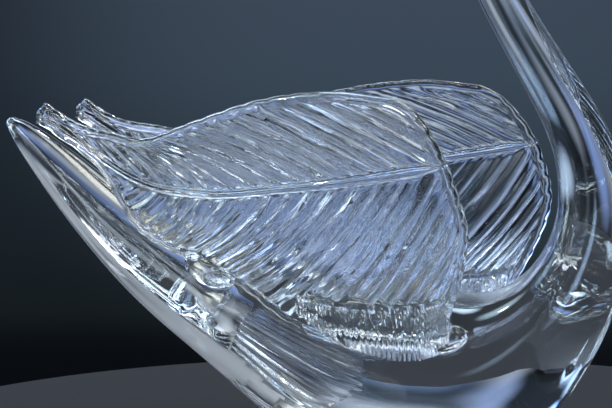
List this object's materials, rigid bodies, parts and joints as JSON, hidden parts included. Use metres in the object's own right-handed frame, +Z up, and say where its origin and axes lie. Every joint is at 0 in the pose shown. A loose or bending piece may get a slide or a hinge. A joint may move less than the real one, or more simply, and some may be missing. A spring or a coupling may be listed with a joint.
{
  "type": "glass swan ornament",
  "caption": "Clear glass swan with an upswept tail, ribbed leaf-shaped wings and a tall S-shaped neck, ground flat underneath to stand.",
  "frame": {"origin": "centre of the ground flat underneath, on the surface the swan stands on", "axes": "+X towards the head, +Y towards the bird's left, +Z up"},
  "size_m": [0.1179, 0.0596, 0.1121],
  "materials": {
    "clear_glass": "clear, fire-polished"
  },
  "bodies": {
    "root": {"glass_swan": "clear_glass"}
  },
  "joints": []
}
